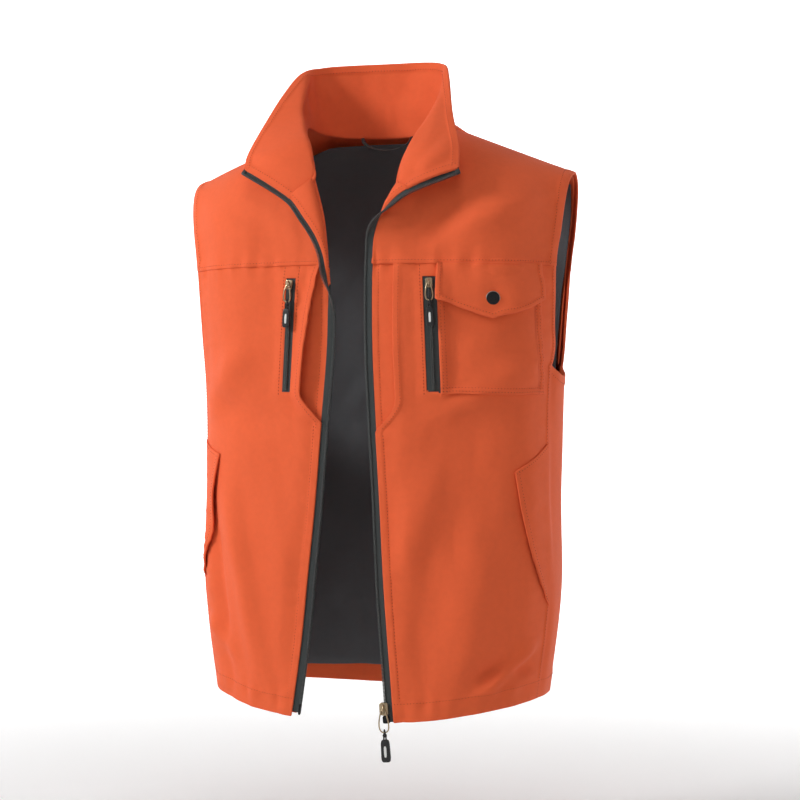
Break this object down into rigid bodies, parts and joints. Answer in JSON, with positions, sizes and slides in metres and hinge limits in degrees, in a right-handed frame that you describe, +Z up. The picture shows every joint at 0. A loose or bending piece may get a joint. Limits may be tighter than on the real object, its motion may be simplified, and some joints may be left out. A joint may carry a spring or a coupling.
{
  "type": "zip-front vest",
  "caption": "Sleeveless zip-front vest with a stand collar turned out at the front, zipped chest pockets, a snap-flap patch pocket and slanted hand pockets.",
  "frame": {"origin": "on the shoulders, midway between the two points where the shoulder seams meet the collar", "axes": "+Z up, -Y out of the front, +X to the wearer's left"},
  "size_m": [0.4534, 0.2418, 0.7953],
  "materials": {
    "orange_shell": "matt fine-woven blaze orange shell cloth",
    "orange_facing": "matt fine-woven blaze orange cloth on the inside of the collar and edges",
    "grey_lining": "smooth grey lining cloth",
    "collar_stiffener": "white non-woven stiffener",
    "zip_tape": "dark grey woven zip tape",
    "zip_elements": "dark grey zip elements",
    "aged_brass": "aged brass, satin",
    "black_snap": "black enamelled snap cap",
    "puller_cord": "black braided cord",
    "puller_rubber": "black moulded rubber"
  },
  "bodies": {
    "torso": {"side_panel_left": "orange_shell", "side_panel_right": "orange_shell", "back_panel": "orange_shell", "back_yoke": "orange_shell", "back_lining": "grey_lining", "front_yoke_left": "orange_shell", "front_yoke_right": "orange_shell", "armhole_facing_left": "orange_facing", "armhole_facing_right": "orange_facing", "collar_outer": "orange_shell", "collar_stiffener": "collar_stiffener", "collar_inner": "orange_facing", "lapel_facing_left": "orange_facing", "lapel_facing_right": "orange_facing", "hanger_loop": "puller_cord", "lapel_zip_tape_left": "zip_tape", "lapel_zip_tape_right": "zip_tape", "lapel_zip_chain_left": "zip_elements", "lapel_zip_chain_right": "zip_elements"},
    "front_left": {"front_panel_left": "orange_shell", "placket_panel_left": "orange_shell", "front_facing_left": "orange_facing", "front_lining_left": "grey_lining", "main_zip_tape_left": "zip_tape", "main_zip_chain_left": "zip_elements", "zip_retainer_box": "aged_brass", "chest_zip_tape_left": "zip_tape", "chest_zip_chain_left": "zip_elements", "chest_pocket_bag_left": "grey_lining", "hand_pocket_bag_left": "grey_lining", "hand_welt_left": "orange_shell", "patch_pocket": "orange_shell", "snap_stud": "aged_brass"},
    "front_right": {"front_panel_right": "orange_shell", "placket_panel_right": "orange_shell", "front_facing_right": "orange_facing", "front_lining_right": "grey_lining", "main_zip_tape_right": "zip_tape", "main_zip_chain_right": "zip_elements", "zip_insertion_pin": "aged_brass", "chest_zip_tape_right": "zip_tape", "chest_zip_chain_right": "zip_elements", "chest_pocket_bag_right": "grey_lining", "hand_pocket_bag_right": "grey_lining", "hand_welt_right": "orange_shell"},
    "main_slider": {"main_slider": "aged_brass"},
    "main_pull": {"main_pull_ring": "aged_brass", "main_pull_cord": "puller_cord", "main_pull_tab": "puller_rubber"},
    "chest_slider_left": {"chest_slider_left": "aged_brass"},
    "chest_pull_left": {"chest_pull_left_ring": "aged_brass", "chest_pull_left_cord": "puller_cord", "chest_pull_left_tab": "puller_rubber"},
    "chest_slider_right": {"chest_slider_right": "aged_brass"},
    "chest_pull_right": {"chest_pull_right_ring": "aged_brass", "chest_pull_right_cord": "puller_cord", "chest_pull_right_tab": "puller_rubber"},
    "flap": {"pocket_flap": "orange_shell", "snap_cap": "black_snap", "snap_socket": "aged_brass"}
  },
  "joints": [
    {"name": "front_left_swing", "type": "hinge", "parent": "torso", "child": "front_left", "pos_m": [0.2132, -0.0362, -0.4], "axis": [0, 0, 1], "range_deg": [0, 35]},
    {"name": "front_right_swing", "type": "hinge", "parent": "torso", "child": "front_right", "pos_m": [-0.2132, -0.0362, -0.4], "axis": [0, 0, -1], "range_deg": [0, 35]},
    {"name": "main_slider_travel", "type": "slide", "parent": "front_left", "child": "main_slider", "axis": [-0.0669, 0, 0.9978], "range_m": [0, 0.45]},
    {"name": "main_pull_swing", "type": "hinge", "parent": "main_slider", "child": "main_pull", "pos_m": [0.03553, -0.128, -0.6525], "axis": [-0.9978, 0, -0.0669], "range_deg": [0, 150]},
    {"name": "chest_zip_left_travel", "type": "slide", "parent": "front_left", "child": "chest_slider_left", "axis": [0.0356, 0.0122, -0.9993], "range_m": [0, 0.105]},
    {"name": "chest_pull_left_swing", "type": "hinge", "parent": "chest_slider_left", "child": "chest_pull_left", "pos_m": [0.08648, -0.12645, -0.18606], "axis": [-0.9861, -0.1621, -0.0372], "range_deg": [0, 140]},
    {"name": "chest_zip_right_travel", "type": "slide", "parent": "front_right", "child": "chest_slider_right", "axis": [-0.0562, 0.012, -0.9983], "range_m": [0, 0.105]},
    {"name": "chest_pull_right_swing", "type": "hinge", "parent": "chest_slider_right", "child": "chest_pull_right", "pos_m": [-0.07401, -0.12808, -0.18616], "axis": [-0.9896, 0.1318, 0.0573], "range_deg": [0, 140]},
    {"name": "flap_lift", "type": "hinge", "parent": "front_left", "child": "flap", "pos_m": [0.1632, -0.1028, -0.1655], "axis": [-0.9107, -0.4131, 0], "range_deg": [0, 110]}
  ]
}
